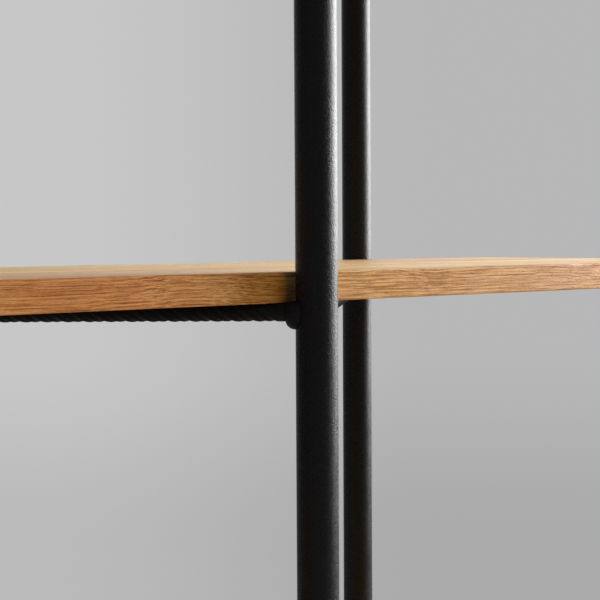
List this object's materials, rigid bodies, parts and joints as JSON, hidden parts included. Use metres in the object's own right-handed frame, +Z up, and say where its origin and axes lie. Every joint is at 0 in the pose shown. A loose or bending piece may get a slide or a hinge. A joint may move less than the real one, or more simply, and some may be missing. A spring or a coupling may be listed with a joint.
{
  "type": "bookcase",
  "caption": "Open bookcase of oak boards threaded between staggered rows of round black posts, carried on twisted steel bars that zigzag from post to post, on levelling feet.",
  "frame": {"origin": "on the floor at the middle of the footprint", "axes": "+X to the right along the shelves, +Y to the back, +Z up"},
  "size_m": [1.252, 0.3254, 1.963],
  "materials": {
    "coated_steel": "fine textured black powder coat",
    "oak": "clear matt oil",
    "black_plastic": "moulded, fine spark texture",
    "zinc_steel": "bright zinc plate"
  },
  "bodies": {
    "frame": {"post_front_left": "coated_steel", "collars_front_left": "coated_steel", "cap_front_left": "black_plastic", "insert_front_left": "black_plastic", "post_rear_left": "coated_steel", "collars_rear_left": "coated_steel", "cap_rear_left": "black_plastic", "insert_rear_left": "black_plastic", "post_front_right": "coated_steel", "collars_front_right": "coated_steel", "cap_front_right": "black_plastic", "insert_front_right": "black_plastic", "post_rear_right": "coated_steel", "collars_rear_right": "coated_steel", "cap_rear_right": "black_plastic", "insert_rear_right": "black_plastic", "shelf_1": "oak", "saddles_1": "coated_steel", "bar_1_left": "coated_steel", "bar_1_middle": "coated_steel", "bar_1_right": "coated_steel", "shelf_2": "oak", "saddles_2": "coated_steel", "bar_2_left": "coated_steel", "bar_2_middle": "coated_steel", "bar_2_right": "coated_steel", "shelf_3": "oak", "saddles_3": "coated_steel", "bar_3_left": "coated_steel", "bar_3_middle": "coated_steel", "bar_3_right": "coated_steel", "shelf_4": "oak", "saddles_4": "coated_steel", "bar_4_left": "coated_steel", "bar_4_middle": "coated_steel", "bar_4_right": "coated_steel", "shelf_5": "oak", "saddles_5": "coated_steel", "bar_5_left": "coated_steel", "bar_5_middle": "coated_steel", "bar_5_right": "coated_steel", "shelf_6": "oak", "saddles_6": "coated_steel", "bar_6_left": "coated_steel", "bar_6_middle": "coated_steel", "bar_6_right": "coated_steel", "saddle_screws": "zinc_steel"},
    "foot_front_left": {"foot_stem_front_left": "zinc_steel", "foot_pad_front_left": "black_plastic"},
    "foot_rear_left": {"foot_stem_rear_left": "zinc_steel", "foot_pad_rear_left": "black_plastic"},
    "foot_front_right": {"foot_stem_front_right": "zinc_steel", "foot_pad_front_right": "black_plastic"},
    "foot_rear_right": {"foot_stem_rear_right": "zinc_steel", "foot_pad_rear_right": "black_plastic"}
  },
  "joints": [
    {"name": "level_front_left", "type": "slide", "parent": "frame", "child": "foot_front_left", "axis": [0, 0, -1], "range_m": [0, 0.012]},
    {"name": "level_rear_left", "type": "slide", "parent": "frame", "child": "foot_rear_left", "axis": [0, 0, -1], "range_m": [0, 0.012]},
    {"name": "level_front_right", "type": "slide", "parent": "frame", "child": "foot_front_right", "axis": [0, 0, -1], "range_m": [0, 0.012]},
    {"name": "level_rear_right", "type": "slide", "parent": "frame", "child": "foot_rear_right", "axis": [0, 0, -1], "range_m": [0, 0.012]}
  ]
}
